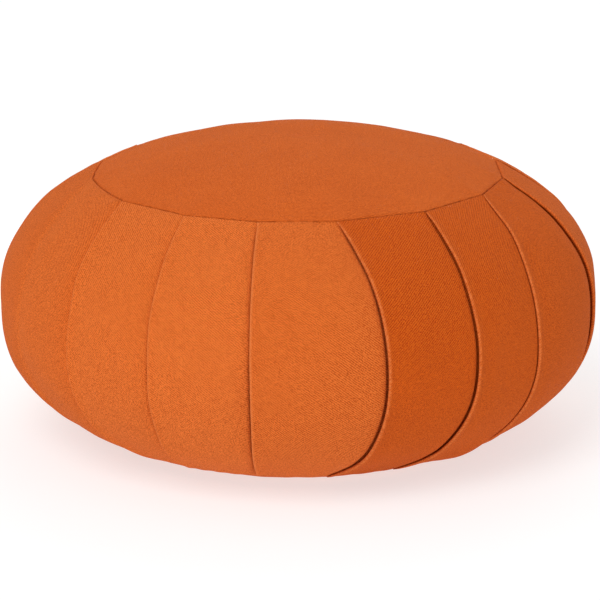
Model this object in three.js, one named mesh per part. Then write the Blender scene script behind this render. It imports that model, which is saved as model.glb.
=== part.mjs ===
// Zafu meditation cushion: a round, husk-filled floor cushion of orange cotton twill.
// Its cover is cut as three pieces. A long side band is laid in sixteen knife pleats and sewn
// between a round top panel and a round base panel. Seen from outside, the left edge of each
// pleat is a free fold that laps over its left neighbour. The fold is sewn down at both seams
// and stands a little open at the waist, where the filling pushes the band out.
// Units are millimetres, +Z is up, and the origin is on the floor under the cushion's middle.
// Azimuth 0 is the front of the cushion, at -Y, and azimuths grow to the right, towards +X.
import * as THREE from "three";

// Driving dimensions
const WIDTH = 331.4; // over the waist
const WAIST_Z = 78; // height of the widest ring
const TOP_SEAM_R = 114.4; // at the corners, where the folds run into the seam
const TOP_SEAM_Z = 145.5;
const CROWN = 20.5; // rise of the top panel above its seam
const CROWN_POWER = 2.2; // a little flatter in the middle than a sphere's cap
const BASE_SEAM_R = 109.5;
const BASE_SEAM_Z = 5;
const FLAT_SHARE = 0.86; // the share of the base panel's radius that lies on the floor
const BASE_LIFT_POWER = 1.6; // how the base panel's rim curves up from the floor
const PANEL_T = 2.4; // cloth of the top and base panels with their backing
const GAP = 0.3; // between two pieces

// The side band's outline above and below the waist: two superellipse arcs
const WAIST_R = WIDTH / 2;
const UPPER_POWER = 2.18;
const LOWER_POWER = 2.36;
const UPPER_RISE = riseOf(TOP_SEAM_Z - WAIST_Z, TOP_SEAM_R, UPPER_POWER);
const LOWER_RISE = riseOf(WAIST_Z - BASE_SEAM_Z, BASE_SEAM_R, LOWER_POWER);

// The sixteen folds. top, waist and base are a fold's azimuths in degrees at the upper seam, at
// the waist and at the lower seam. gape is the most that its lip stands off the neighbour, and
// opens and shuts are the heights between which it does, as s runs from 1 at the upper seam to
// -1 at the lower. puff is how far the middle of the panel to its right stands out beyond the
// band's outline, and hip is how far that panel swells just above the lower seam.
const FOLDS = [
  { top: -83, waist: -66, base: -63, gape: 0.6, opens: 0.5, shuts: -0.5, puff: 0.2, hip: 0.6 },
  { top: -55, waist: -47, base: -42, gape: 0.4, opens: 0.6, shuts: -0.4, puff: 0, hip: 0.3 },
  { top: -31.3, waist: -28, base: -31.3, gape: 0.9, opens: 0.2, shuts: -0.3, puff: 0.3, hip: 0.4 },
  { top: -10.6, waist: -8.6, base: -11.8, gape: 1.1, opens: 0, shuts: -0.85, puff: 0.4, hip: 1 },
  { top: 10, waist: 16, base: 7.5, gape: 2.3, opens: 0.75, shuts: -0.97, puff: -0.2, hip: -0.5 },
  { top: 35.7, waist: 34, base: 27, gape: 1.3, opens: 0.95, shuts: -0.9, puff: 0, hip: 3 },
  { top: 60, waist: 49.6, base: 49, gape: 0.3, opens: 0.5, shuts: -0.5, puff: 0, hip: -0.8 },
  { top: 80.5, waist: 75.5, base: 72, gape: 3.2, opens: 0.95, shuts: -0.5, puff: -1.2, hip: 0 },
  { top: 102.5, waist: 100, base: 97, gape: 0.8, opens: 0.4, shuts: -0.8, puff: 0.3, hip: 0.6 },
  { top: 125, waist: 125.5, base: 123, gape: 0.6, opens: 0.6, shuts: -0.3, puff: 0, hip: 0 },
  { top: 146.5, waist: 148, base: 148, gape: 1.6, opens: 0.7, shuts: -0.9, puff: 0.5, hip: 1.4 },
  { top: 169, waist: 173.5, base: 170, gape: 0.5, opens: 0.3, shuts: -0.6, puff: -0.3, hip: 0 },
  { top: 190, waist: 196, base: 195, gape: 0.9, opens: 0.5, shuts: -0.7, puff: 0.2, hip: 0.8 },
  { top: 212.5, waist: 221, base: 222, gape: 2, opens: 0.8, shuts: -0.8, puff: 0.4, hip: 0 },
  { top: 234, waist: 245, base: 246, gape: 0.6, opens: 0.2, shuts: -0.7, puff: -0.2, hip: 1 },
  { top: 256, waist: 270, base: 271, gape: 1, opens: 0.6, shuts: -0.6, puff: 0.2, hip: 0.4 },
];

// The cross-section of one pleat, in mm. Depths are below the band's outline.
const LIP_T = { seam: 0.4, waist: 1.5 }; // the folded edge: two layers of cloth
const LIP_DEPTH = { seam: 0.1, waist: 1.2 }; // top of the folded edge
const LIP_ROUND = 0.9; // rounding of the folded edge, in lip thicknesses
const VALLEY = { at: 4.5, depth: 0.3 }; // dip behind the folded edge
const SLOT_MOUTH = 0.6; // from the slot's mouth to the folded edge over it
const SLOT_END = 0.2; // the slot's width at its inner end
const TUCK = { seam: -0.4, waist: 9 }; // how far the slot runs in under the folded edge
const UNDER_LIP = { seam: -0.2, waist: 1.1 }; // where the folded edge's underside begins

// A panel's crest: at is a share of its width, and drop a share of the lip's depth.
const CREST = [
  { at: 0.24, drop: 0.4 },
  { at: 0.42, drop: 0 },
];

// Where a panel rolls down to the next fold: left is the share of ROLL_OFF still to go, and
// fall the share of the way down to the slot's floor.
const ROLL_OFF = 14;
const ROLL_OFF_MOST = 0.45; // of a narrow panel's width
const ROLL_START = 0.15; // of the lip's depth
const ROLL = [
  { left: 1, fall: 0 },
  { left: 0.6, fall: 0.22 },
  { left: 0.32, fall: 0.52 },
  { left: 0.13, fall: 0.83 },
];

// Along the pleats, from seam to seam
const FOLD_BOW = 0.75; // how fast a fold leaves its seam for its waist azimuth
const FADE = 2.6; // how soon the pleats flatten towards the seams
const GAPE_FULLNESS = 0.7; // under 1, a lip stands off for most of its open height
const SEAM_FLAT = 3; // how soon the seams' straight sides fade into the round waist
const HIP_FROM = 0.45; // where the hips begin, as a share of the way to the lower seam
const HIP_SKEW = 2.6; // how far to the right of its panel's middle a hip is fullest
const SWELL_SPAN = 0.93; // the share of a panel's width over which it swells

// Seams: the band's edge turns in over the panels' rims, which roll under it by SEAM_ROLL
const SEAM_LAND = 1.4;
const SEAM_ROLL = 0.7;
const WALL_LEAN = 0.2; // of the seat's wall, over its depth
const TOP_REACH = TOP_SEAM_R - SEAM_LAND;
const BASE_REACH = BASE_SEAM_R - SEAM_LAND;

// Mesh density
const BAND_ROWS = 20;
const PANEL_SIDES = 6; // points along each of the seam's sixteen sides
const TOP_RINGS = [0.22, 0.44, 0.64, 0.8, 0.92, 0.985, 1]; // shares of the panel's radius
const BASE_RINGS = [0.45, FLAT_SHARE, 0.91, 0.96, 1];
const TOP_SEAT_RINGS = [0.44, 0.8];

const rad = THREE.MathUtils.degToRad;
const lerp = THREE.MathUtils.lerp;
const COUNT = FOLDS.length;

// The rise of a superellipse quarter of radius WAIST_R that is `height` high at radius r.
function riseOf(height, r, power) {
  return height / (1 - (r / WAIST_R) ** power) ** (1 / power);
}

// A point of the band's outline and its outward normal. s is 1 at the upper seam, 0 at the
// waist and -1 at the lower seam.
function outlineAt(s) {
  const up = s >= 0;
  const power = up ? UPPER_POWER : LOWER_POWER;
  const rise = up ? UPPER_RISE : LOWER_RISE;
  const seamR = up ? TOP_SEAM_R : BASE_SEAM_R;
  const turn = Math.abs(s) * Math.acos((seamR / WAIST_R) ** (power / 2));
  const across = Math.cos(turn) ** (2 / power);
  const along = Math.sin(turn) ** (2 / power);
  const normal = new THREE.Vector2(
    across ** (power - 1) / WAIST_R,
    (up ? 1 : -1) * (along ** (power - 1) / rise),
  ).normalize();
  return { r: WAIST_R * across, z: WAIST_Z + (up ? 1 : -1) * rise * along, normal };
}

// Azimuth of fold k in radians at s. k may run past the last fold, which adds a full turn.
function foldAzimuth(k, s) {
  const fold = FOLDS[k % COUNT];
  const seam = s >= 0 ? fold.top : fold.base;
  const bow = Math.sin((Math.PI / 2) * (1 - Math.abs(s)) ** FOLD_BOW);
  return rad(lerp(seam, fold.waist, bow) + 360 * Math.floor(k / COUNT));
}

// How much a seam's straight side lies inside the circle through its corners, as a factor.
function chordFactor(azimuth, from, to) {
  const middle = (from + to) / 2;
  return Math.cos((to - from) / 2) / Math.cos(azimuth - middle);
}

// How far fold k's lip stands off its neighbour at s.
function standOff(k, s) {
  const { gape, opens, shuts } = FOLDS[k % COUNT];
  const down = THREE.MathUtils.clamp((opens - s) / (opens - shuts), 0, 1);
  return gape * Math.sin(Math.PI * down) ** GAPE_FULLNESS;
}

// Cross-section of the panel between fold k and the next: pairs of x, along the band from
// fold k, and h, outward from the outline. It ends in the slot under the next fold.
function pleatSection(k, width, s) {
  const open = 1 - Math.abs(s) ** FADE;
  const opened = ({ seam, waist }) => lerp(seam, waist, open);
  const lip = -opened(LIP_DEPTH);
  const under = lip - opened(LIP_T);
  const floor = under - SLOT_END - standOff(k + 1, s);
  const rollFrom = lip * ROLL_START;
  const roll = Math.min(ROLL_OFF, width * ROLL_OFF_MOST);
  return [
    [0, (lip + under) / 2],
    [LIP_ROUND * opened(LIP_T), lip],
    [VALLEY.at, lip - VALLEY.depth * open],
    ...CREST.map(({ at, drop }) => [width * at, lip * drop]),
    ...ROLL.map(({ left, fall }) => [width - roll * left, lerp(rollFrom, floor, fall)]),
    [width - SLOT_MOUTH, floor],
    [width + opened(TUCK), lerp(floor, under - SLOT_END / 2, open)],
    [width + opened(UNDER_LIP), under],
  ];
}

// How far the panel right of fold k stands out at s, at share t of the way across it.
function swellAt(k, s, t) {
  const across = THREE.MathUtils.clamp(t / SWELL_SPAN, 0, 1);
  const down = THREE.MathUtils.clamp((-s - HIP_FROM) / (1 - HIP_FROM), 0, 1);
  const puff = Math.sin(Math.PI * across) * (1 - s ** 2);
  const hip = Math.sin(Math.PI * across ** HIP_SKEW) * Math.sin(Math.PI * down ** 2);
  return FOLDS[k].puff * puff + FOLDS[k].hip * hip;
}

// One row of the side band: every panel's section, laid round the outline at s. chord is
// kept with each point for the rings that follow the seam's straight sides.
function bandRow(s) {
  const { r, z, normal } = outlineAt(s);
  const flat = Math.abs(s) ** SEAM_FLAT;
  const row = [];
  for (let k = 0; k < COUNT; k++) {
    const from = foldAzimuth(k, s);
    const to = foldAzimuth(k + 1, s);
    const width = (to - from) * r;
    for (const [x, depth] of pleatSection(k, width, s)) {
      const azimuth = from + x / r;
      const chord = chordFactor(Math.min(azimuth, to), from, to);
      const base = r * lerp(1, chord, flat);
      const h = depth + swellAt(k, s, x / width);
      row.push({ azimuth, chord, r: base + h * normal.x, z: z + h * normal.y });
    }
  }
  return row;
}

// A ring on the azimuths of a row at a share of the way from the axis to reach. Its sides are
// straight between the folds at the seam, and round further in.
function panelRing(row, reach, share, z) {
  return row.map(({ azimuth, chord }) => {
    return { azimuth, r: reach * share * lerp(1, chord, share ** SEAM_FLAT), z };
  });
}

// Closes a stack of rings into one solid. The rings run from the middle of the top, down
// the outside and back in to the middle of the underside; each end is a single point.
function solidFromRings(rings, topZ, bottomZ) {
  const columns = rings[0].length;
  const positions = [0, 0, topZ];
  for (const ring of rings) {
    for (const { azimuth, r, z } of ring) {
      positions.push(r * Math.sin(azimuth), -r * Math.cos(azimuth), z);
    }
  }
  const last = rings.length * columns + 1;
  positions.push(0, 0, bottomZ);
  const at = (ring, column) => 1 + ring * columns + (column % columns);
  const faces = [];
  for (let c = 0; c < columns; c++) {
    faces.push(0, at(0, c), at(0, c + 1));
    for (let i = 0; i + 1 < rings.length; i++) {
      faces.push(at(i, c), at(i + 1, c), at(i + 1, c + 1));
      faces.push(at(i, c), at(i + 1, c + 1), at(i, c + 1));
    }
    faces.push(at(rings.length - 1, c), last, at(rings.length - 1, c + 1));
  }
  const geometry = new THREE.BufferGeometry();
  geometry.setAttribute("position", new THREE.Float32BufferAttribute(positions, 3));
  geometry.setIndex(faces);
  geometry.computeVertexNormals();
  return geometry;
}

// Height of the top panel's upper face, and of the base panel's lower face, at a share of
// the way from the middle to the panel's rim.
function crownZ(share) {
  const roll = share === 1 ? SEAM_ROLL : 0;
  return TOP_SEAM_Z + CROWN * (1 - share ** CROWN_POWER) - roll;
}
function baseZ(share) {
  const roll = share === 1 ? SEAM_ROLL : 0;
  const lift = Math.max(0, share - FLAT_SHARE) / (1 - FLAT_SHARE);
  return BASE_SEAM_Z * lift ** BASE_LIFT_POWER + roll;
}

// The filled side band: pleats outside, and a shallow seat for each of the round panels.
function pleatedSideBand() {
  const rows = [];
  for (let i = 0; i <= BAND_ROWS; i++) {
    rows.push(bandRow(1 - (2 * i) / BAND_ROWS));
  }
  const upper = rows[0];
  const lower = rows[BAND_ROWS];
  const step = PANEL_T + GAP;
  const topSeat = TOP_SEAT_RINGS.map((share) =>
    panelRing(upper, TOP_REACH, share, crownZ(share) - step),
  );
  const topWall = [
    panelRing(upper, TOP_REACH + GAP, 1, crownZ(1) - step),
    panelRing(upper, TOP_REACH + GAP + WALL_LEAN, 1, TOP_SEAM_Z - SEAM_ROLL / 2),
  ];
  const baseWall = [
    panelRing(lower, BASE_REACH + GAP + WALL_LEAN, 1, BASE_SEAM_Z + SEAM_ROLL / 2),
    panelRing(lower, BASE_REACH + GAP, 1, baseZ(1) + step),
  ];
  const baseSeat = panelRing(lower, BASE_REACH, FLAT_SHARE, step);
  const rings = [...topSeat, ...topWall, ...rows, ...baseWall, baseSeat];
  return solidFromRings(rings, crownZ(0) - step, step);
}

// The azimuths of a panel's rim: its sixteen straight sides, evenly divided.
function panelRim(s) {
  const rim = [];
  for (let k = 0; k < COUNT; k++) {
    const from = foldAzimuth(k, s);
    const to = foldAzimuth(k + 1, s);
    for (let i = 0; i < PANEL_SIDES; i++) {
      const azimuth = lerp(from, to, i / PANEL_SIDES);
      rim.push({ azimuth, chord: chordFactor(azimuth, from, to) });
    }
  }
  return rim;
}

// The domed top panel: a sheet of cloth PANEL_T thick inside the band's upper edge.
function topPanel() {
  const rim = panelRim(1);
  const ring = (share, drop) => panelRing(rim, TOP_REACH, share, crownZ(share) - drop);
  const upper = TOP_RINGS.map((share) => ring(share, 0));
  const lower = TOP_RINGS.map((share) => ring(share, PANEL_T)).reverse();
  return solidFromRings([...upper, ...lower], crownZ(0), crownZ(0) - PANEL_T);
}

// The base panel: flat on the floor, with a rim that rises to the band's lower edge.
function basePanel() {
  const rim = panelRim(-1);
  const ring = (share, lift) => panelRing(rim, BASE_REACH, share, baseZ(share) + lift);
  const upper = BASE_RINGS.map((share) => ring(share, PANEL_T));
  const lower = BASE_RINGS.map((share) => ring(share, 0)).reverse();
  return solidFromRings([...upper, ...lower], PANEL_T, 0);
}

function cottonTwill(colour) {
  return new THREE.MeshStandardMaterial({ color: colour, roughness: 0.92, metalness: 0 });
}

function piece(name, geometry, colour) {
  const mesh = new THREE.Mesh(geometry, cottonTwill(colour));
  mesh.name = name;
  return mesh;
}

const cushion = new THREE.Group();
cushion.add(
  piece("pleated_side_band", pleatedSideBand(), 0xd4662c),
  piece("top_panel", topPanel(), 0xcc6128),
  piece("base_panel", basePanel(), 0xc45c26),
);

export default cushion;
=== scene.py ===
"""Zafu meditation cushion: its cloth cover, seams and stage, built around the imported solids.

The side band is one strip of cotton twill in sixteen knife pleats, sewn between a round top
panel and a round base panel. Sizes here are in millimetres until a mesh is made. Azimuth 0 is
the front of the cushion, at -Y, and azimuths grow to the right.
"""

import math

import bpy
import numpy as np
from bpy.props import FloatProperty, FloatVectorProperty, IntProperty, PointerProperty
from mathutils import Matrix, Vector


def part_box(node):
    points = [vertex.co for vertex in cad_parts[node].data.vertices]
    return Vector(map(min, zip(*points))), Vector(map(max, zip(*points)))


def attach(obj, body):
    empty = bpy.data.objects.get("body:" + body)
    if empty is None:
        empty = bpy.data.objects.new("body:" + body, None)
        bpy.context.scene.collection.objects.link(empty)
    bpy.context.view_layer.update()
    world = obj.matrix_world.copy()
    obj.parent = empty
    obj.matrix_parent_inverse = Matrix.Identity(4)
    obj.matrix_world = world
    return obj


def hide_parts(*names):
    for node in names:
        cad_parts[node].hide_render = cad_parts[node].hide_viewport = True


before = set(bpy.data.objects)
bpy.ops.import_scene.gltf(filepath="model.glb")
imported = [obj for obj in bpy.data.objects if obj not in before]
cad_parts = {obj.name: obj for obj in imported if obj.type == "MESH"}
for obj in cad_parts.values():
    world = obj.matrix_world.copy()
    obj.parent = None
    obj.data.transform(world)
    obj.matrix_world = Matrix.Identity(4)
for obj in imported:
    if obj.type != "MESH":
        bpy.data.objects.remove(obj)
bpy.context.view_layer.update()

bl_info = {
    "name": "Zafu meditation cushion",
    "version": (1, 0, 0),
    "blender": (4, 5, 0),
    "location": "View3D > Sidebar > Zafu",
    "description": "Builds a pleated round floor cushion of cotton twill and its stage",
    "category": "Add Mesh",
}

MM = 0.001

# Height of the dome's middle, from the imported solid
SUMMIT_Z = (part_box("top_panel")[1] / MM).z

# The band's outline: two superellipse arcs over and under the waist
WAIST_R = 165.7
WAIST_Z = 78.0
TOP_SEAM_R = 114.4
TOP_SEAM_Z = 145.5
BASE_SEAM_R = 109.5
BASE_SEAM_Z = 5.0
UPPER_POWER = 2.18
LOWER_POWER = 2.36

# The sixteen folds. top, waist and base are azimuths in degrees at the upper seam, the waist and
# the lower seam. crack is how far a lip stands off its neighbour all along, and gape how much
# farther between the heights opens and shuts, as s runs from 1 at the upper seam to -1 at the
# lower. lip is the folded edge's thickness and rise its height over the outline. roll is how
# sharply the neighbour rounds down under it, from 0 to 1. puff and hip swell the panel to the
# fold's right, in the middle and low down.
FOLD_COLUMNS = (
    ("top", "waist", "base")
    + ("crack", "gape", "opens", "shuts")
    + ("lip", "rise", "roll")
    + ("puff", "hip")
)
FOLD_ROWS = (
    (-83.0, -66.0, -63.0, 0.2, 0.30, 0.80, -0.50, 1.3, -0.2, 0.3, 0.2, 0.6),
    (-55.0, -47.0, -42.0, 0.4, 0.50, 1.05, -0.40, 2.2, 0.3, 0.9, 0.0, 0.3),
    (-31.3, -28.0, -31.3, 0.9, 0.30, 0.60, -0.95, 1.5, 0.1, 0.5, 0.3, 0.4),
    (-10.6, -8.6, -11.8, 0.9, 0.70, 0.15, -0.60, 1.9, 0.4, 1.0, 0.4, 1.0),
    (10.0, 16.0, 7.5, 0.7, 0.80, 0.55, -0.75, 1.6, 0.4, 0.6, -0.2, -0.5),
    (35.7, 34.0, 27.0, 0.7, 0.35, 1.15, -0.96, 1.3, 0.2, 0.3, 0.0, 3.0),
    (60.0, 49.6, 49.0, 0.1, 0.10, 0.50, -0.50, 1.2, -0.2, 0.2, 0.0, -0.8),
    (80.5, 75.5, 72.0, 0.4, 2.20, 0.80, -0.50, 1.5, 0.2, 0.4, -1.2, 0.0),
    (102.5, 100.0, 97.0, 0.3, 0.50, 0.40, -0.80, 1.2, -0.3, 0.4, 0.3, 0.6),
    (125.0, 125.5, 123.0, 0.2, 0.40, 0.60, -0.30, 1.0, -0.5, 0.6, 0.0, 0.0),
    (146.5, 148.0, 148.0, 0.5, 1.10, 0.70, -0.90, 1.5, 0.1, 0.3, 0.5, 1.4),
    (169.0, 173.5, 170.0, 0.2, 0.20, 0.30, -0.60, 1.0, -0.5, 0.5, -0.3, 0.0),
    (190.0, 196.0, 195.0, 0.4, 0.50, 0.50, -0.70, 1.3, -0.3, 0.7, 0.2, 0.8),
    (212.5, 221.0, 222.0, 0.5, 1.50, 0.80, -0.80, 1.5, 0.2, 0.3, 0.4, 0.0),
    (234.0, 245.0, 246.0, 0.2, 0.40, 0.20, -0.70, 1.1, -0.5, 0.6, -0.2, 1.0),
    (256.0, 270.0, 271.0, 0.3, 0.70, 0.60, -0.60, 1.2, -0.3, 0.4, 0.2, 0.4),
)
FOLDS = [dict(zip(FOLD_COLUMNS, row)) for row in FOLD_ROWS]

# How the twill runs on the panel to each fold's right: the wales' slope in degrees, its painted
# shade, a deeper colour for a panel whose nap lies away from the light, and the strength of the
# painted highlight along its folded edge, both from 0 to 1
WEAVE_COLUMNS = ("slope", "painted_shade", "edge")
WEAVE_ROWS = (
    (-36.0, 0.35, 0.2),
    (-38.0, 0.12, 0.5),
    (-36.0, 0.03, 0.6),
    (-38.0, 0.20, 1.0),
    (42.0, 1.00, 1.0),
    (42.0, 0.95, 0.9),
    (44.0, 0.92, 1.0),
    (40.0, 0.70, 0.4),
    (-38.0, 0.20, 0.6),
    (-40.0, 0.35, 0.5),
    (-36.0, 0.10, 0.3),
    (42.0, 0.70, 0.9),
    (40.0, 0.80, 0.6),
    (-38.0, 0.20, 0.4),
    (-36.0, 0.05, 0.3),
    (-38.0, 0.55, 0.5),
)
WEAVE = [dict(zip(WEAVE_COLUMNS, row)) for row in WEAVE_ROWS]
# Painted shade of the top and base panels, as in the table above
TOP_PAINTED_SHADE = 0.54
BASE_PAINTED_SHADE = 0.2
TOP_GRAIN = 0.38
COUNT = len(FOLDS)

# How straight the seams run from fold to fold, from 0 for the full circle to 1 for a chord
TOP_TAUT = (0.35, 1, 1, 1, 1, 1, 1, 1, 1, 0.9, 0.9, 1, 1, 0.9, 0.9, 0.6)
BASE_TAUT = 0.6

# The pleat's cross-section
LAYER_GAP = 0.15
SLOT_END = 0.25
TUCK = {"seam": 0.2, "waist": 9.0}
SEAM_LIP_SHARE = 0.3
SEAM_DEPTH = 0.1
ROLL_OFF = 15.0
ROLL_OFF_MOST = 0.45
FADE = 5.0
EDGE_FADE = 12.0
FOLD_BOW = 0.75
SEAM_FLAT = 3.0
GAPE_FULLNESS = 0.7
MOUTH_LEAST = 0.15
MOUTH_SHARE = 0.24
GAP_DEPTH = 2.0
NOSE_SHARE = 0.3
NOSE_AT_SEAM = 0.5
LIP_TURN = 0.3
BEAD = 0.65
HIP_FROM = 0.45
HIP_SKEW = 2.6
SWELL_SPAN = 0.93

# The band's rings that the round panels hide. Under the dome: share of the way to the rim, and
# how far the ring follows the straight seam. Behind the top seam: how far it stands out from the
# rim, how much farther where the seam opens, and its depth. Behind the base seam: out and up.
SEAM_ALLOWANCE = 1.4
SEAM_CLEARANCE = 0.3
UNDER_DOME = ((0.44, 0.09), (0.8, 0.5))
BEHIND_TOP_SEAM = ((0.0, 0.7, 1.6), (0.15, 0.75, 0.5), (0.4, 0.7, 0.12))
BEHIND_BASE_SEAM = ((0.55, 0.35), (0.3, 1.2))
TURN_OUT = 0.25
TURN_DEPTH = 0.7
OVER_BASE_TAUT = 0.6
# How strong the painted shadow in the lower seam is
BASE_SEAM_SHADE = 0.8

# The panels' rims. Top: how far each ring lies inside and how high over the seam. Base: its share
# of the radius and its height.
TOP_RIM = ((0.65, 0.12), (0.3, -0.08), (0.1, -0.45), (0.05, -1.1), (0.05, -2.2))
BASE_RIM = ((1.0, 2.2), (1.0, 1.0), (0.9985, 0.4), (0.9945, 0.1))
BASE_RIM_DROP = 0.1

# Shares of the way to the rim at which the panels' rings lie
DOME_SHARES = np.concatenate([np.linspace(0.03, 0.94, 44), [0.955, 0.968, 0.979, 0.988]])
DOME_UNDER_SHARES = np.array([0.9, 0.7, 0.45, 0.2])
BASE_SHARES = np.linspace(0.98, 0.04, 34)
BASE_LIFT_POWER = 1.6

# Random ripples of the cloth: each one's wavelength in millimetres and its seed
LUMP_SEED = 11
RUNS = (13.0, 12)
BAND_PUCKERS = (9.0, 13)
TOP_LUMPS = (46.0, 21)
TOP_PUCKERS = (10.0, 22)
SEWING = (4.6, 23)
BASE_PUCKERS = (14.0, 31)
SLACK_PATCHES = (40.0, 41)

# Share to which heights are cut, so that ripples run upright
RUN_DRAW = 0.16
PUCKER_DRAW = 0.35
TOP_PUCKER_DRAW = 0.4

# The powers that end lumps at a seam, and the shares in which puckers fade from it
LUMP_FADE = 6
TOP_LUMP_FADE = 8
PUCKER_REACH = 0.09
TOP_PUCKER_REACH = 0.1
TOP_RIPPLE_SHARE = 0.8
BASE_PUCKER_SAG = 0.9

# Camera, fitted to the photograph's frame of 600 pixels
CAMERA_DISTANCE = 1650.0
CAMERA_ELEVATION = 0.276
CAMERA_ROLL = -0.007
FOCAL_PIXELS = 2956.7
FRAME_PIXELS = 600.0
CENTRE_PIXEL = (298.94, 288.59)
SENSOR = 36.0


def lerp(a, b, t):
    return a + (b - a) * t


def polar_ring(angle, radius, z):
    """Points at azimuths, each at its radius and height."""
    height = np.broadcast_to(z, angle.shape)
    return np.stack([radius * np.sin(angle), -radius * np.cos(angle), height], axis=-1)


def rise_of(height, radius, power):
    """The rise of a superellipse quarter of radius WAIST_R, `height` high at `radius`."""
    return height / (1 - (radius / WAIST_R) ** power) ** (1 / power)


UPPER_RISE = rise_of(TOP_SEAM_Z - WAIST_Z, TOP_SEAM_R, UPPER_POWER)
LOWER_RISE = rise_of(WAIST_Z - BASE_SEAM_Z, BASE_SEAM_R, LOWER_POWER)


def outline_at(s):
    """The band's outline at the heights s: radius, z, and the outward normal's two parts."""
    up = s >= 0
    power = np.where(up, UPPER_POWER, LOWER_POWER)
    rise = np.where(up, UPPER_RISE, LOWER_RISE)
    seam = np.where(up, TOP_SEAM_R, BASE_SEAM_R)
    side = np.where(up, 1.0, -1.0)
    turn = np.abs(s) * np.arccos((seam / WAIST_R) ** (power / 2))
    across = np.cos(turn) ** (2 / power)
    along = np.sin(turn) ** (2 / power)
    out = across ** (power - 1) / WAIST_R
    lift = side * along ** (power - 1) / rise
    length = np.hypot(out, lift)
    return WAIST_R * across, WAIST_Z + side * rise * along, out / length, lift / length


def fold_azimuth(k, s):
    """Azimuth of fold k in radians at the heights s. k may run past the last fold."""
    fold = FOLDS[k % COUNT]
    seam = np.where(s >= 0, fold["top"], fold["base"])
    bow = np.sin(math.pi / 2 * (1 - np.abs(s)) ** FOLD_BOW)
    return np.radians(lerp(seam, fold["waist"], bow) + 360 * (k // COUNT))


def stand_off(k, s):
    """How far fold k's lip stands off its neighbour at the heights s."""
    fold = FOLDS[k % COUNT]
    down = np.clip((fold["opens"] - s) / (fold["opens"] - fold["shuts"]), 0, 1)
    crack = fold["crack"] * (1 - np.abs(s) ** EDGE_FADE)
    return crack + fold["gape"] * np.sin(math.pi * down) ** GAPE_FULLNESS


def straight_share(k, angle, start, end, s):
    """Share of its radius left to the outline where the seam right of fold k is drawn straight."""
    chord = np.cos((end - start) / 2) / np.cos(angle - (start + end) / 2)
    return lerp(1, chord, np.where(s >= 0, TOP_TAUT[k], BASE_TAUT))


def swell_at(k, s, t):
    """How far the panel right of fold k stands out at s, at share t of the way across it."""
    fold = FOLDS[k % COUNT]
    across = np.clip(t / SWELL_SPAN, 0, 1)
    down = np.clip((-s - HIP_FROM) / (1 - HIP_FROM), 0, 1)
    puff = np.sin(math.pi * across) * (1 - s**2)
    hip = np.sin(math.pi * across**HIP_SKEW) * np.sin(math.pi * down**2)
    return fold["puff"] * puff + fold["hip"] * hip


# Mesh columns after each control point of a pleat's section
SECTION_STEPS = (2, 2, 3, 2, 3, 3, 4, 3, 3, 3, 2, 2, 2, 2, 1, 1, 1, 1, 2, 2)
PER_PLEAT = sum(SECTION_STEPS)

# The ripples' spread of wavelengths and height, how much closer the rows lie at the seams, and
# where a pleat's own places end, short of the next one's
RIPPLE_SPREAD = (0.75, 1.35)
RIPPLE_HEIGHT = 0.6
ROW_CROWDING = 0.14
PLACE_END = 0.9999

# The grid on which the filling presses the cloth: rows from seam to seam and columns a pleat
FORM_ROWS = 64
FORM_COLUMNS = 20
FORM_FRAMES = 20
SLACK_STEPS = 10
FORM_CLOTH = {
    "quality": 6,
    "mass": 0.05,
    "tension_stiffness": 10,
    "compression_stiffness": 10,
    "shear_stiffness": 12,
    "bending_stiffness": 0.6,
}

# The lip: how far each control point lies from its fold, and its height as a share of the bead
LIP_POINTS = ((0.15, 0.45), (1.0, 1.0), (2.7, -0.1), (5.2, -0.5))

# How much each column from a fold on belongs to its folded edge, where a highlight is painted
EDGE_COLUMNS = {-1: 0.3, 0: 0.9, 1: 1.0, 2: 0.9, 3: 0.45, 4: 0.1}

# The roll down to the next fold: how much of its width is left, and how much of its fall is
# done where it rounds down softly and where it does so sharply
ROLL_STEPS = (
    (1.0, 0.0, 0.0),
    (0.62, 0.08, 0.06),
    (0.34, 0.22, 0.18),
    (0.15, 0.33, 0.38),
    (0.03, 0.44, 0.66),
)


def pleat_controls(k, width, s):
    """Control points of pleat k: lists of x from its fold and h from the outline, for each s."""
    opened = 1 - np.abs(s) ** FADE
    crisp = 1 - np.abs(s) ** EDGE_FADE
    both = (FOLDS[k % COUNT], FOLDS[(k + 1) % COUNT])
    after = both[1]
    lip, next_lip = (lerp(-SEAM_DEPTH, fold["rise"], opened) for fold in both)
    full = lerp(NOSE_AT_SEAM, 1, opened)
    nose, next_nose = (NOSE_SHARE * fold["lip"] * full for fold in both)
    under = next_lip - after["lip"] * lerp(SEAM_LIP_SHARE, 1, crisp)
    gape = stand_off(k + 1, s)
    floor = under - lerp(LAYER_GAP, SLOT_END, opened) - gape
    mouth = MOUTH_LEAST + MOUTH_SHARE * gape
    deep = floor - GAP_DEPTH * gape
    tuck = lerp(TUCK["seam"], TUCK["waist"], opened)
    roll = np.minimum(ROLL_OFF, width * ROLL_OFF_MOST)
    nothing = np.zeros_like(s)
    section = [(-nose, lip - LIP_TURN * crisp)]
    section += [(x + nothing, lip + share * BEAD * crisp) for x, share in LIP_POINTS]
    section += [
        (10.5 + nothing, lip * 0.75 - 0.1 * opened),
        (width * 0.32, lip * 0.35),
        (width * 0.47, nothing),
    ]
    for left, soft, sharp in ROLL_STEPS:
        fall = lerp(soft, sharp, after["roll"])
        section.append((width - roll * left - mouth, (floor - 0.4) * fall))
    # Down into the gap, in to the tuck's end, and back under the next lip to its nose
    section += [
        (width - mouth + 0.35, deep * 0.95),
        (width + 0.9, deep),
        (width + tuck + 0.4, lerp(deep, under, 0.3)),
        (width + tuck + 0.4, under - 0.05),
        (width + tuck * 0.5 + 0.6, under),
        (width + 1.2, under),
        (width - next_nose, under + 0.05),
    ]
    return section


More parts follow.
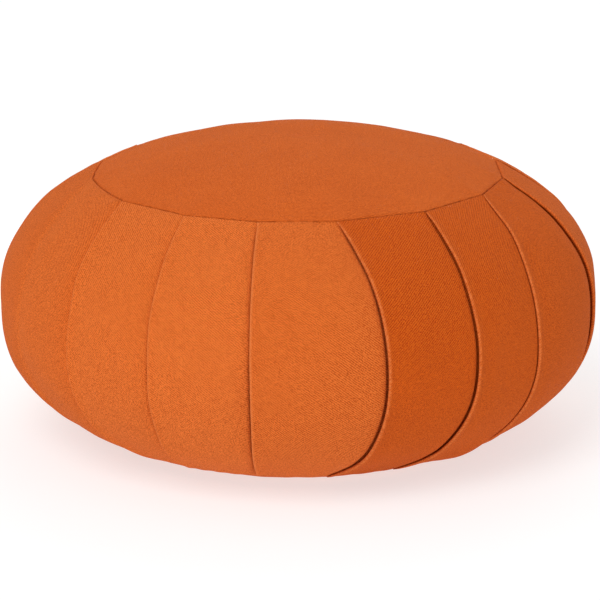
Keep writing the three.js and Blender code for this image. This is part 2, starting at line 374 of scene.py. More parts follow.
def spline_weights(steps):
    """Weights of a closed uniform cubic B-spline, `steps` columns after each control point."""
    rows = []
    for j, count in enumerate(steps):
        for i in range(count):
            t = i / count
            middle = (3 * t**3 - 6 * t**2 + 4) / 6
            after = (-3 * t**3 + 3 * t**2 + 3 * t + 1) / 6
            rows.append((j, (1 - t) ** 3 / 6, middle, after, t**3 / 6))
    return rows


def smooth_round(values, weights, turn=0.0):
    """Runs the closed spline along the last axis; `turn` is what one lap adds to a value."""
    before = np.concatenate([values[:, -1:] - turn, values[:, :-1]], axis=1)
    after = np.concatenate([values[:, 1:], values[:, :1] + turn], axis=1)
    beyond = np.concatenate([values[:, 2:], values[:, :2] + turn], axis=1)
    index = np.array([row[0] for row in weights])
    w = np.array([row[1:] for row in weights])
    return (
        before[:, index] * w[:, 0]
        + values[:, index] * w[:, 1]
        + after[:, index] * w[:, 2]
        + beyond[:, index] * w[:, 3]
    )


def ripples(points, wavelength, seed, waves=28):
    """A smooth random field over points in millimetres, about -1 to 1."""
    rng = np.random.default_rng(seed)
    field = np.zeros(points.shape[:-1])
    for _ in range(waves):
        direction = rng.normal(size=3)
        direction /= np.linalg.norm(direction)
        turns = 2 * math.pi / (wavelength * rng.uniform(*RIPPLE_SPREAD))
        field += np.cos(points @ direction * turns + rng.uniform(0, 2 * math.pi))
    return field * math.sqrt(2 / waves) * RIPPLE_HEIGHT


def drawn_out(points, share):
    """The points with their heights cut to a share, so that ripples over them run upright."""
    return points * np.array([1.0, 1.0, share])


def row_heights(rows):
    """The heights s of the band's rows, from the upper seam to the lower, closer at both."""
    even = np.linspace(1, -1, rows)
    return (1 - ROW_CROWDING) * even + ROW_CROWDING * np.sin(even * math.pi / 2)


def band_surface(shape):
    """The pleated surface: points, outward normals, azimuths, cloth coordinates and places."""
    s = row_heights(shape.band_rows)
    radius, z, out, lift = outline_at(s)
    angle, depth = [], []
    for k in range(COUNT):
        start = fold_azimuth(k, s)
        width = (fold_azimuth(k + 1, s) - start) * radius
        for x, h in pleat_controls(k, width, s):
            angle.append(start + x / radius)
            depth.append(h + swell_at(k, s, x / width))
    steps = SECTION_STEPS * COUNT
    weights = spline_weights(steps)
    angle = smooth_round(np.stack(angle, axis=1), weights, turn=2 * math.pi)
    depth = smooth_round(np.stack(depth, axis=1), weights)
    flat = np.abs(s) ** SEAM_FLAT
    chord = np.empty_like(angle)
    along = np.empty_like(angle)
    place = np.empty_like(angle)
    for k in range(COUNT):
        part = slice(k * PER_PLEAT, (k + 1) * PER_PLEAT)
        start = fold_azimuth(k, s)[:, None]
        end = fold_azimuth(k + 1, s)[:, None]
        inside = np.clip(angle[:, part], start, end)
        chord[:, part] = straight_share(k, inside, start, end, s[:, None])
        along[:, part] = (angle[:, part] - (start + end) / 2) * radius[:, None]
        place[:, part] = k + (inside - start) / (end - start) * PLACE_END
    base = radius[:, None] * lerp(1, chord, flat[:, None])
    r = base + depth * out[:, None]
    height = z[:, None] + depth * lift[:, None]
    points = polar_ring(angle, r, height)
    normals = polar_ring(angle, out[:, None], lift[:, None])
    steps_down = np.hypot(np.diff(radius), np.diff(z))
    down = np.concatenate([[0], np.cumsum(steps_down)])
    up_cloth = np.broadcast_to((down[-1] / 2 - down)[:, None], angle.shape)
    return {
        "s": s,
        "points": points,
        "normals": normals,
        "angle": angle,
        "along": along,
        "place": place,
        "up": up_cloth,
    }


def ring_mesh(name, rings, top_point, bottom_point, uv_of_ring, shade, edge, seam):
    """Makes a closed mesh from rings of points, in millimetres, and a centre point at each end.

    uv_of_ring gives each ring's cloth coordinates, as seen by the faces to its points' right
    and to their left, so that a strip may jump where one pleat ends and the next begins.
    shade gives each column of faces its painted shade, edge each column of points how far it lies
    on a folded edge, where a highlight is painted, and seam each point how far it lies in a seam,
    which sets the painted seam shadow there.
    """
    count = rings[0].shape[0]
    vertices = np.concatenate([[top_point], *rings, [bottom_point]]) * MM
    last = len(vertices) - 1
    column = np.arange(count)
    following = (column + 1) % count
    faces = []
    for i in range(len(rings) - 1):
        a = 1 + i * count
        b = a + count
        faces.append(np.stack([a + column, b + column, b + following, a + following], axis=1))
    quads = np.concatenate(faces)
    top_fan = np.stack([np.zeros_like(column), 1 + column, 1 + following], axis=1)
    low = 1 + (len(rings) - 1) * count
    low_fan = np.stack([np.full_like(column, last), low + following, low + column], axis=1)
    mesh = bpy.data.meshes.new(name)
    corner_count = quads.size + top_fan.size + low_fan.size
    mesh.vertices.add(len(vertices))
    mesh.vertices.foreach_set("co", vertices.astype(np.float32).ravel())
    mesh.loops.add(corner_count)
    mesh.loops.foreach_set(
        "vertex_index",
        np.concatenate([quads.ravel(), top_fan.ravel(), low_fan.ravel()]).astype(np.int32),
    )
    sizes = np.concatenate([np.full(len(quads), 4), np.full(2 * count, 3)])
    mesh.polygons.add(len(sizes))
    starts = np.concatenate([[0], np.cumsum(sizes)[:-1]])
    mesh.polygons.foreach_set("loop_start", starts.astype(np.int32))
    mesh.polygons.foreach_set("use_smooth", np.ones(len(sizes), bool))
    right, left = uv_of_ring
    blocks = []
    for i in range(len(rings) - 1):
        near = [right[i][column], right[i + 1][column]]
        far = [left[i + 1][following], left[i][following]]
        blocks.append(np.stack(near + far, axis=1).reshape(-1, 2))
    flat_uv = np.concatenate(blocks)
    uv = np.zeros((corner_count, 2), np.float32)
    uv[: len(flat_uv)] = flat_uv
    layer = mesh.uv_layers.new(name="cloth")
    layer.data.foreach_set("uv", uv.ravel())
    corner_shade = np.concatenate(
        [np.repeat(np.tile(shade, len(rings) - 1), 4), np.repeat(np.tile(shade, 2), 3)]
    )
    attribute = mesh.attributes.new("painted_shade", "FLOAT", "CORNER")
    attribute.data.foreach_set("value", corner_shade.astype(np.float32))
    point_values = {"folded_edge": np.tile(edge, len(rings)), "seam_shadow_mask": seam.ravel()}
    for key, values in point_values.items():
        attribute = mesh.attributes.new(key, "FLOAT", "POINT")
        attribute.data.foreach_set("value", np.pad(values, 1).astype(np.float32))
    mesh.update(calc_edges=True)
    mesh.validate()
    piece = bpy.data.objects.new(name, mesh)
    bpy.context.scene.collection.objects.link(piece)
    return piece


def crown_z(share, shape):
    """Height of the top panel's upper face at a share of the way to its rim."""
    return TOP_SEAM_Z + (SUMMIT_Z - TOP_SEAM_Z) * (1 - share**shape.crown_power)


def base_z(share, shape):
    """Height of the base panel's lower face at a share of the way to its rim."""
    lift = np.maximum(0, share - shape.flat_share) / (1 - shape.flat_share)
    return BASE_SEAM_Z * lift**BASE_LIFT_POWER


def seam_gap(angle):
    """How far the top seam opens, as a share: least at the back, where it is drawn tight. It also
    sets the strength of the painted shadow in the top seam.
    """
    return np.clip(0.15 + 1.1 * np.cos(angle), 0.05, 1)


def plain_panels(angle, s, lift):
    """Points of the band without lips and tucks, at azimuths for each s, lifted off its outline."""
    radius, z, out, rise = (part[:, None] for part in outline_at(s))
    r = radius + lift * out
    return polar_ring(angle, r, z + lift * rise)


def filled_band(shape):
    """Presses the filling against the band's cloth, held at its seams and folds.

    Returns the rows' heights s, and how far each point of a row gave, in millimetres.
    """
    s = np.linspace(1, -1, FORM_ROWS)
    count = COUNT * FORM_COLUMNS
    angle = np.empty((FORM_ROWS, count))
    for k in range(COUNT):
        start = fold_azimuth(k, s)[:, None]
        end = fold_azimuth(k + 1, s)[:, None]
        part = slice(k * FORM_COLUMNS, (k + 1) * FORM_COLUMNS)
        angle[:, part] = lerp(start, end, np.arange(FORM_COLUMNS) / FORM_COLUMNS)
    start_points = plain_panels(angle, s, np.zeros_like(angle))
    row = np.arange(FORM_ROWS - 1)[:, None] * count
    column = np.arange(count)[None, :]
    following = (column + 1) % count
    faces = np.stack(
        [row + column, row + count + column, row + count + following, row + following], axis=-1
    )
    mesh = bpy.data.meshes.new("band_form")
    mesh.from_pydata((start_points.reshape(-1, 3) * MM).tolist(), [], faces.reshape(-1, 4).tolist())
    form = bpy.data.objects.new("band_form", mesh)
    scene = bpy.context.scene
    scene.collection.objects.link(form)
    sewn = form.vertex_groups.new(name="sewn")
    seam = np.zeros((FORM_ROWS, count), bool)
    seam[[0, -1]] = True
    seam[:, ::FORM_COLUMNS] = True
    sewn.add(np.flatnonzero(seam).tolist(), 1.0, "REPLACE")
    slack = form.vertex_groups.new(name="slack")
    looseness = np.clip(0.5 + 0.5 * ripples(start_points, *SLACK_PATCHES), 0, 1)
    steps = np.round(looseness * SLACK_STEPS).astype(int)
    for step in range(SLACK_STEPS + 1):
        chosen = np.flatnonzero(steps == step).tolist()
        if chosen:
            slack.add(chosen, step / SLACK_STEPS, "REPLACE")
    cloth = form.modifiers.new("filling", "CLOTH")
    for key, value in FORM_CLOTH.items():
        setattr(cloth.settings, key, value)
    cloth.settings.use_pressure = True
    cloth.settings.uniform_pressure_force = shape.filling_pressure
    cloth.settings.vertex_group_mass = "sewn"
    cloth.settings.vertex_group_shrink = "slack"
    cloth.settings.shrink_min = 0.0
    cloth.settings.shrink_max = -shape.slack
    cloth.settings.effector_weights.gravity = 0
    cloth.collision_settings.use_collision = False
    cloth.point_cache.frame_start = 1
    cloth.point_cache.frame_end = FORM_FRAMES
    for number in range(1, FORM_FRAMES + 1):
        scene.frame_set(number)
    settled = form.evaluated_get(bpy.context.evaluated_depsgraph_get())
    ends = np.empty(FORM_ROWS * count * 3)
    settled.data.vertices.foreach_get("co", ends)
    scene.frame_set(1)
    bpy.data.objects.remove(form)
    bpy.data.meshes.remove(mesh)
    ends = ends.reshape(FORM_ROWS, count, 3) / MM
    outward = plain_panels(angle, s, np.ones_like(angle)) - start_points
    gave = ((ends - start_points) * outward).sum(axis=-1)
    usual = gave.reshape(FORM_ROWS, COUNT, FORM_COLUMNS).mean(axis=1)
    own = gave - np.tile(usual, (1, COUNT))
    return s, np.clip(own, -shape.most_give, shape.most_give)


def give_at(s, place, form):
    """How far the pressed cloth gave at s and at a place across the pleats.

    A place is the pleat's number plus the share of the way across it.
    """
    form_s, gave = form
    row = np.interp(s, form_s[::-1], np.arange(len(form_s))[::-1])
    low = np.clip(row.astype(int), 0, len(form_s) - 2)
    part = (row - low)[:, None]
    column = np.mod(place, COUNT) * FORM_COLUMNS
    first = column.astype(int)
    beside = (first + 1) % gave.shape[1]
    across = column - first
    upper = lerp(gave[low[:, None], first], gave[low[:, None], beside], across)
    lower = lerp(gave[low[:, None] + 1, first], gave[low[:, None] + 1, beside], across)
    return lerp(upper, lower, part)


def turned(places, degrees):
    """Turns cloth coordinates so that wales of a slope in degrees run along the first one."""
    a = math.radians(degrees)
    x = places[..., 0] * math.cos(a) + places[..., 1] * math.sin(a)
    y = places[..., 1] * math.cos(a) - places[..., 0] * math.sin(a)
    return np.stack([x, y], axis=-1)


def laid_open(angle, s_value):
    """Azimuths of a pleated row with its folds laid open, and the shares of the radius there.

    The hidden rings behind a seam run through these, so that the folds end at the seam.
    """
    laps = np.sort(np.concatenate([angle - 2 * math.pi, angle, angle + 2 * math.pi]))
    count = len(angle)
    before, middle, after = (laps[count + i : 2 * count + i] for i in (-1, 0, 1))
    azimuth = (before + 2 * middle + after) / 4
    share = np.ones_like(azimuth)
    for k in range(-1, COUNT + 1):
        start, end = (fold_azimuth(k + i, np.array(s_value)) for i in (0, 1))
        inside = (azimuth >= start) & (azimuth < end)
        share[inside] = straight_share(k % COUNT, azimuth[inside], start, end, s_value)
    return azimuth, share


def rings_under_top(azimuth, chord, gap, step, shape):
    """The band's hidden rings, from under the dome out to the upper seam."""
    reach = TOP_SEAM_R - SEAM_ALLOWANCE
    rings = []
    for share, taut in UNDER_DOME:
        radius = reach * share * lerp(1, chord, taut)
        rings.append(polar_ring(azimuth, radius, crown_z(share, shape) - step))
    rings.append(polar_ring(azimuth, (reach + TURN_OUT) * chord, TOP_SEAM_Z - step - TURN_DEPTH))
    for out, opening, drop in BEHIND_TOP_SEAM:
        radius = (reach + out + opening * gap) * chord
        rings.append(polar_ring(azimuth, radius, TOP_SEAM_Z - drop))
    return rings


def rings_over_base(azimuth, chord, step, shape):
    """The band's hidden rings, from the lower seam in over the base panel."""
    reach = BASE_SEAM_R - SEAM_ALLOWANCE
    rings = [
        polar_ring(azimuth, (reach + out) * chord, BASE_SEAM_Z + lift)
        for out, lift in BEHIND_BASE_SEAM
    ]
    rings.append(polar_ring(azimuth, (reach + TURN_OUT) * chord, BASE_SEAM_Z + step + TURN_DEPTH))
    radius = reach * shape.flat_share * lerp(1, chord, OVER_BASE_TAUT)
    rings.append(polar_ring(azimuth, radius, step))
    return rings


def make_side_band(shape):
    surface = band_surface(shape)
    points = surface["points"]
    normals = surface["normals"]
    s = surface["s"][:, None]
    free = 1 - np.abs(s) ** LUMP_FADE
    near_seam = np.exp(-(1 - np.abs(s)) / PUCKER_REACH)
    lumps = ripples(points, shape.lump_size, LUMP_SEED) * shape.lump_depth
    runs = ripples(drawn_out(points, RUN_DRAW), *RUNS) * shape.run_depth
    puckers = ripples(drawn_out(points, PUCKER_DRAW), *BAND_PUCKERS) * shape.pucker_depth
    give = give_at(surface["s"], surface["place"], filled_band(shape))
    move = (lumps + runs) * free + puckers * near_seam + give
    points = points + normals * move[..., None]
    angle = surface["angle"]
    top_azimuth, chord_top = laid_open(angle[0], 1.0)
    low_azimuth, chord_low = laid_open(angle[-1], -1.0)
    gap = seam_gap(top_azimuth)
    step = shape.panel_thickness + SEAM_CLEARANCE
    top_rings = rings_under_top(top_azimuth, chord_top, gap, step, shape)
    low_rings = rings_over_base(low_azimuth, chord_low, step, shape)
    rings = top_rings + list(points) + low_rings
    extra_top, extra_low = len(top_rings), len(low_rings)
    own = np.stack([surface["along"], surface["up"]], axis=-1)
    own = np.concatenate([own[:1].repeat(extra_top, 0), own, own[-1:].repeat(extra_low, 0)])
    flat_points = np.stack(rings)
    right = own.copy()
    left = own.copy()
    # Each pleat's painted shade, and its cloth coordinates turned to its wales' slope
    shade = np.empty(COUNT * PER_PLEAT)
    for k in range(COUNT):
        part = slice(k * PER_PLEAT, (k + 1) * PER_PLEAT)
        shade[part] = WEAVE[k]["painted_shade"]
        right[:, part] = turned(own[:, part], WEAVE[k]["slope"])
        left[:, part] = right[:, part]
        first = k * PER_PLEAT
        before = first - 1
        width = np.linalg.norm(flat_points[:, first] - flat_points[:, before], axis=-1)
        last = own[:, before] + np.stack([width, 0 * width], axis=-1)
        left[:, first] = turned(last, WEAVE[k - 1]["slope"])
    uv = (right * MM, left * MM)
    centre_top = np.array([0, 0, crown_z(0, shape) - step])
    centre_low = np.array([0, 0, step])
    # How far each column lies on a folded edge, which sets the painted highlight there
    edge = np.zeros(COUNT * PER_PLEAT)
    for k in range(COUNT):
        for column, strength in EDGE_COLUMNS.items():
            edge[(k * PER_PLEAT + column) % len(edge)] = strength * WEAVE[k]["edge"]
    # Painted shadow in the seams: behind the top seam as strong as the seam opens, and at the lower
    # seam
    seam = np.zeros((len(rings), len(edge)))
    seam[extra_top - len(BEHIND_TOP_SEAM) : extra_top] = gap
    seam[-extra_low:-1] = BASE_SEAM_SHADE
    return ring_mesh(
        "side_band_cloth", rings, centre_top, centre_low, uv, shade=shade, edge=edge, seam=seam
    )


def panel_rim(s_value, sides):
    """Azimuths round a panel's rim and how far its straight sides lie inside their circle."""
    s = np.array([s_value])
    angle, chord = [], []
    for k in range(COUNT):
        start = fold_azimuth(k, s)[0]
        end = fold_azimuth(k + 1, s)[0]
        part = start + (end - start) * np.arange(sides) / sides
        angle.append(part)
        chord.append(straight_share(k, part, start, end, s_value))
    return np.concatenate(angle), np.concatenate(chord)


def panel_rings(angle, chord, reach, shares, heights):
    rings = []
    for share, z in zip(shares, heights):
        radius = reach * share * lerp(1, chord, share**SEAM_FLAT)
        rings.append(polar_ring(angle, radius, z))
    return rings


def make_top_panel(shape):
    angle, chord = panel_rim(1.0, shape.panel_sides)
    reach = TOP_SEAM_R - SEAM_ALLOWANCE
    heights = crown_z(DOME_SHARES, shape)
    upper = np.stack(panel_rings(angle, chord, reach, DOME_SHARES, heights))
    share_column = DOME_SHARES[:, None]
    fade = np.exp(-(1 - share_column) / TOP_PUCKER_REACH)
    lumps = ripples(upper, *TOP_LUMPS) * shape.lump_depth * TOP_RIPPLE_SHARE
    puckers = ripples(drawn_out(upper, TOP_PUCKER_DRAW), *TOP_PUCKERS) * shape.pucker_depth
    move = lumps * (1 - share_column**TOP_LUMP_FADE)
    move = move + puckers * TOP_RIPPLE_SHARE * fade
    upper[..., 2] += move
    sewn = ripples(polar_ring(angle, reach, 0.0), *SEWING) * shape.seam_waver
    rolled = [
        polar_ring(angle, (reach - inside) * chord + sewn, TOP_SEAM_Z + lift)
        for inside, lift in TOP_RIM
    ]
    thickness = shape.panel_thickness
    under_z = crown_z(DOME_UNDER_SHARES, shape) - thickness
    under = panel_rings(angle, chord, reach, DOME_UNDER_SHARES, under_z)
    rings = list(upper) + rolled + under
    flat = [ring[:, :2] * MM for ring in rings]
    top = np.array([0, 0, upper[0, :, 2].mean()])
    low = np.array([0, 0, crown_z(0, shape) - thickness])
    # Painted shadow in the top seam, on the rolled rim, as strong as the seam opens
    seam = np.zeros((len(rings), len(angle)))
    seam[len(upper) + 1 : len(upper) + len(rolled)] = seam_gap(angle)
    nothing = np.zeros(len(angle))
    return ring_mesh(
        "top_panel_cloth",
        rings,
        top,
        low,
        (flat, flat),
        shade=nothing + TOP_PAINTED_SHADE,
        edge=nothing,
        seam=seam,
    )


def make_base_panel(shape):
    angle, chord = panel_rim(-1.0, shape.panel_sides)
    reach = BASE_SEAM_R - SEAM_ALLOWANCE
    thickness = shape.panel_thickness
    upper_shares = np.array([0.3, 0.6, shape.flat_share, 0.95])
    upper_z = base_z(upper_shares, shape) + thickness
    upper = panel_rings(angle, chord, reach, upper_shares, upper_z)
    rolled = [
        polar_ring(angle, reach * share * chord, BASE_SEAM_Z - BASE_RIM_DROP + lift)
        for share, lift in BASE_RIM
    ]
    heights = base_z(BASE_SHARES, shape)
    lower = np.stack(panel_rings(angle, chord, reach, BASE_SHARES, heights))
    past_flat = BASE_SHARES[:, None] - shape.flat_share
    lifted = np.clip(past_flat / (1 - shape.flat_share), 0, 1)
    puckers = ripples(lower, *BASE_PUCKERS) + BASE_PUCKER_SAG
    lower[..., 2] += puckers * shape.pucker_depth * lifted
    rings = upper + rolled + list(lower)
    flat = [ring[:, :2] * MM for ring in rings]
    top = np.array([0, 0, thickness])
    low = np.array([0, 0, 0.0])
    # Painted shadow in the lower seam, on the rolled rim
    seam = np.zeros((len(rings), len(angle)))
    seam[len(upper) : len(upper) + len(rolled)] = BASE_SEAM_SHADE
    nothing = np.zeros(len(angle))
    return ring_mesh(
        "base_panel_cloth",
        rings,
        top,
        low,
        (flat, flat),
        shade=nothing + BASE_PAINTED_SHADE,
        edge=nothing,
        seam=seam,
    )


class Number:
    """A number socket that takes part in Python expressions by adding Math nodes."""

    def __init__(self, shader, socket):
        self.shader = shader
        self.socket = socket

    def math(self, operation, *values):
        return self.shader.node("ShaderNodeMath", {"operation": operation}, dict(enumerate(values)))

    def __add__(self, other):
        return self.math("ADD", self, other)

    __radd__ = __add__

    def __sub__(self, other):
        return self.math("SUBTRACT", self, other)

    def __rsub__(self, other):
        return self.math("SUBTRACT", other, self)

    def __mul__(self, other):
        return self.math("MULTIPLY", self, other)

    __rmul__ = __mul__

    def __truediv__(self, other):
        return self.math("DIVIDE", self, other)

    def __rtruediv__(self, other):
        return self.math("DIVIDE", other, self)

    def __pow__(self, other):
        return self.math("POWER", self, other)

    def __rpow__(self, other):
        return self.math("POWER", other, self)

    def sine(self):
        return self.math("SINE", self)

    def absolute(self):
        return self.math("ABSOLUTE", self)

    def floor(self):
        return self.math("FLOOR", self)

    def clamped(self):
        return self.math("MINIMUM", self.math("MAXIMUM", self, 0.0), 1.0)


# The cloth's noise patterns. A scale is in turns a metre.
NOISES = {
    "wobble": {"Scale": 160.0, "Detail": 2.0},
    "fine": {"Scale": 2200.0, "Detail": 1.0, "Roughness": 0.7},
    "flecks": {"Scale": 1900.0, "Detail": 0.0},
    "clouds": {"Scale": 30.0, "Detail": 4.0, "Roughness": 0.6},
    # dashes break up the painted edge highlight, and stitches the painted seam shadow
    "dashes": {"Scale": 800.0, "Detail": 1.0},
    "stitches": {"Scale": 290.0, "Detail": 1.0},
}

# What the patterns do to the twill's colour
WALE_WOBBLE = 0.4
WALE_POWER = 0.7
WEAVE_MIDDLE = 0.46
FLECK_SHADE = 6.0
CLOUD_SHADE = 0.35
# Dashes of painted highlight along the folded edges
HIGHLIGHT_DASHES = {"from": 0.4, "gain": 4.0, "dashes": 0.4, "even": 0.25}
# Dashes of painted shadow in the seams
SHADOW_DASHES = {"from": 0.3, "gain": 3.0, "most": 0.65}

# The weave's relief: the share of each pattern, and its depth in metres
RELIEF = {"weave": 0.75, "fine": 0.35, "flecks": 0.25}
RELIEF_DEPTH = 0.0004
FUZZ_TINT = (1.0, 0.42, 0.14, 1.0)


# The Mix node's sockets for colours
MIX_FACTOR, MIX_A, MIX_B, MIX_RESULT = 0, 6, 7, 2


class Shader:
    """Builds one material's nodes."""

    def __init__(self, name):
        self.material = bpy.data.materials.new(name)
        self.material.use_nodes = True
        self.tree = self.material.node_tree
        self.tree.nodes.clear()

    def node(self, kind, settings=None, inputs=None, output=0):
        """Adds a node: its settings first, then its inputs by name or number."""
        made = self.tree.nodes.new(kind)
        for key, value in (settings or {}).items():
            setattr(made, key, value)
        for key, value in (inputs or {}).items():
            socket = made.inputs[key]
            if isinstance(value, Number):
                self.tree.links.new(value.socket, socket)
            elif isinstance(value, bpy.types.NodeSocket):
                self.tree.links.new(value, socket)
            else:
                socket.default_value = value
        return Number(self, made.outputs[output])

    def painted(self, name):
        return self.node("ShaderNodeAttribute", {"attribute_name": name}, output=2)

    def noise(self, place, pattern):
        return self.node("ShaderNodeTexNoise", inputs={"Vector": place, **NOISES[pattern]})

    def mix_colour(self, share, a, b):
        inputs = {MIX_FACTOR: share, MIX_A: a, MIX_B: b}
        return self.node("ShaderNodeMix", {"data_type": "RGBA"}, inputs, output=MIX_RESULT)

    def finish(self, surface):
        output = self.tree.nodes.new("ShaderNodeOutputMaterial")
        self.tree.links.new(surface.socket, output.inputs["Surface"])
        return self.material


def twill_material(name, cloth, grain=1.0):
    """Cotton twill: diagonal wales of spun yarn, a little mottled, with a soft nap.

    The wales run along the first cloth coordinate.
    """
    shader = Shader(name)
    uv = shader.node("ShaderNodeUVMap", {"uv_map": "cloth"})
    parts = shader.tree.nodes.new("ShaderNodeSeparateXYZ")
    shader.tree.links.new(uv.socket, parts.inputs[0])
    along = Number(shader, parts.outputs[0]) / MM
    across = Number(shader, parts.outputs[1]) / MM
    painted_shade = shader.painted("painted_shade")
    place = shader.node("ShaderNodeTexCoord", output=3)
    wobble = shader.noise(place, "wobble")
    wale_at = across / cloth.twill_pitch + wobble * WALE_WOBBLE
    wale = (wale_at * math.pi).sine().absolute()
    row = wale_at.floor()
    yarn = ((along / cloth.yarn_pitch + row * 0.5) * math.pi).sine().absolute()
    weave = wale**WALE_POWER * (yarn * 0.5 + 0.5)
    fine = shader.noise(place, "fine")
    flecks = shader.noise(place, "flecks")
    clouds = shader.noise(place, "clouds")
    # Flecks and clouds are the yarn's own uneven colour; the weave term darkens the hollows between
    # the raised yarns with painted shade
    light = (flecks - 0.5) * (cloth.grain * grain * FLECK_SHADE) + (clouds - 0.5) * CLOUD_SHADE
    light = (light + (weave - WEAVE_MIDDLE) * (cloth.weave_shade * grain) + 0.5).clamped()
    # Painted shade: the colour is mixed from a lit copy and a shaded copy of the twill, by the
    # panel's painted shade
    lit_twill = shader.mix_colour(light, (*cloth.deep_colour, 1.0), (*cloth.bright_colour, 1.0))
    away = shader.mix_colour(light, (*cloth.deep_shaded, 1.0), (*cloth.bright_shaded, 1.0))
    colour = shader.mix_colour(painted_shade, lit_twill, away)
    # Painted highlight along the folded edges, broken into dashes
    folded = shader.painted("folded_edge")
    dashes = shader.noise(place, "dashes")
    dashed = ((dashes - HIGHLIGHT_DASHES["from"]) * HIGHLIGHT_DASHES["gain"]).clamped()
    edge_highlight = folded * (dashed * HIGHLIGHT_DASHES["dashes"] + HIGHLIGHT_DASHES["even"])
    colour = shader.mix_colour(edge_highlight, colour, (*cloth.highlight_colour, 1.0))
    # Painted shadow in the seams, broken into stitch-long dashes
    seam_shadow_mask = shader.painted("seam_shadow_mask")
    stitches = shader.noise(place, "stitches")
    stitched = ((stitches - SHADOW_DASHES["from"]) * SHADOW_DASHES["gain"]).clamped()
    seam_shadow = seam_shadow_mask * stitched * SHADOW_DASHES["most"]
    colour = shader.mix_colour(seam_shadow, colour, (*cloth.seam_shadow_colour, 1.0))
    height = weave * RELIEF["weave"] + fine * RELIEF["fine"] + flecks * RELIEF["flecks"]
    bump = shader.node(
        "ShaderNodeBump",
        inputs={"Height": height, "Strength": cloth.weave_relief, "Distance": RELIEF_DEPTH},
    )
    surface = shader.node(
        "ShaderNodeBsdfPrincipled",
        inputs={
            "Base Color": colour,
            "Roughness": 0.9,
            "Normal": bump,
            "Specular IOR Level": 0.08,
            "Sheen Weight": cloth.fuzz,
            "Sheen Roughness": 0.5,
            "Sheen Tint": FUZZ_TINT,
        },
    )
    return shader.finish(surface)


COLOUR = {"subtype": "COLOR", "size": 3, "min": 0, "max": 1}


class ZafuShape(bpy.types.PropertyGroup):
    """Sizes of the cushion's cloth, in millimetres unless said otherwise."""

    band_rows: IntProperty(
        name="Band rows", description="Mesh rows from seam to seam", default=118, min=20
    )
    panel_sides: IntProperty(
        name="Side points",
        description="Mesh points along each straight side of a round panel",
        default=24,
        min=3,
    )
    panel_thickness: FloatProperty(
        name="Panel thickness", description="Cloth of the round panels, mm", default=1.8
    )
    crown_power: FloatProperty(
        name="Crown power", description="How full the top panel's dome is", default=2.2
    )
    flat_share: FloatProperty(
        name="Flat share",
        description="Share of the base panel's radius that lies on the floor",
        subtype="FACTOR",
        min=0,
        max=0.97,
        default=0.86,
    )
    lump_size: FloatProperty(
        name="Lump size", description="Spacing of the filling's soft lumps, mm", default=44.0
    )
    lump_depth: FloatProperty(
        name="Lump depth", description="Depth of the filling's soft lumps, mm", default=0.6
    )
    run_depth: FloatProperty(
        name="Run depth", description="Depth of the cloth's upright pull lines, mm", default=0.1
    )
    pucker_depth: FloatProperty(
        name="Pucker depth", description="Depth of the puckers at the seams, mm", default=0.28
    )
    filling_pressure: FloatProperty(
        name="Filling pressure", description="How hard the filling presses", default=12000.0
    )
    slack: FloatProperty(
        name="Slack", description="Most that the cloth is cut over size, as a share", default=0.5
    )
    most_give: FloatProperty(
        name="Most give", description="Most that a panel may swell past its cut, mm", default=2.0
    )
    seam_waver: FloatProperty(
        name="Seam waver", description="How far a seam strays from its line, mm", default=0.22
    )


class ZafuCloth(bpy.types.PropertyGroup):
    """Colours and weave of the cotton twill."""

    # The twill's lit colours. Deep yarn is the darker end of the yarn's uneven colour and of the
    # painted shade in the weave's hollows.
    bright_colour: FloatVectorProperty(
        name="Bright yarn",
        description="Colour of the raised yarn",
        **COLOUR,
        default=(0.90, 0.208, 0.039),
    )
    deep_colour: FloatVectorProperty(
        name="Deep yarn",
        description="Colour between the raised yarns",
        **COLOUR,
        default=(0.51, 0.075, 0.007),
    )
    # The twill's shaded copies, used where shade is painted on a panel
    bright_shaded: FloatVectorProperty(
        name="Bright yarn, nap away",
        description="Colour of the raised yarn where the nap lies away from the light",
        **COLOUR,
        default=(0.71, 0.121, 0.009),
    )
    deep_shaded: FloatVectorProperty(
        name="Deep yarn, nap away",
        description="Colour between the raised yarns where the nap lies away from the light",
        **COLOUR,
        default=(0.46, 0.050, 0.003),
    )
    # Colour of the painted shadow in the seams
    seam_shadow_colour: FloatVectorProperty(
        name="Seam",
        description="Colour of the cloth drawn into a seam",
        **COLOUR,
        default=(0.30, 0.045, 0.005),
    )
    # Colour of the painted highlight along folded edges
    highlight_colour: FloatVectorProperty(
        name="Rubbed yarn",
        description="Colour of the yarn rubbed pale along folded edges",
        **COLOUR,
        default=(0.90, 0.27, 0.08),
    )
    yarn_pitch: FloatProperty(
        name="Yarn pitch", description="Length of each yarn's float along a wale, mm", default=0.85
    )
    twill_pitch: FloatProperty(
        name="Twill pitch", description="Spacing of the diagonal wales, mm", default=1.05
    )
    weave_relief: FloatProperty(
        name="Weave relief", description="Strength of the weave's relief", default=1.0
    )
    # How strong the painted shade in the weave's hollows is
    weave_shade: FloatProperty(
        name="Weave shade", description="How much darker the weave's hollows are", default=2.6
    )
    grain: FloatProperty(name="Grain", description="Unevenness of the yarn's colour", default=0.8)
    fuzz: FloatProperty(name="Fuzz", description="Soft fuzz that catches the light", default=0.15)


class ZafuStage(bpy.types.PropertyGroup):
    """Floor and lights."""

    floor_colour: FloatVectorProperty(
        name="Floor",
        description="Colour of the floor",
        **COLOUR,
        default=(0.45, 0.45, 0.45),
    )
    floor_glow: FloatProperty(
        name="Floor glow", description="Light that the floor gives off by itself", default=0.62
    )
    key_strength: FloatProperty(
        name="Key light", description="Power of the key light", unit="POWER", default=25.0, min=0
    )
    back_strength: FloatProperty(
        name="Back light", description="Power from behind", unit="POWER", default=10.0, min=0
    )
    sky_strength: FloatProperty(
        name="Sky", description="Strength of the even light all round", default=0.575, min=0
    )


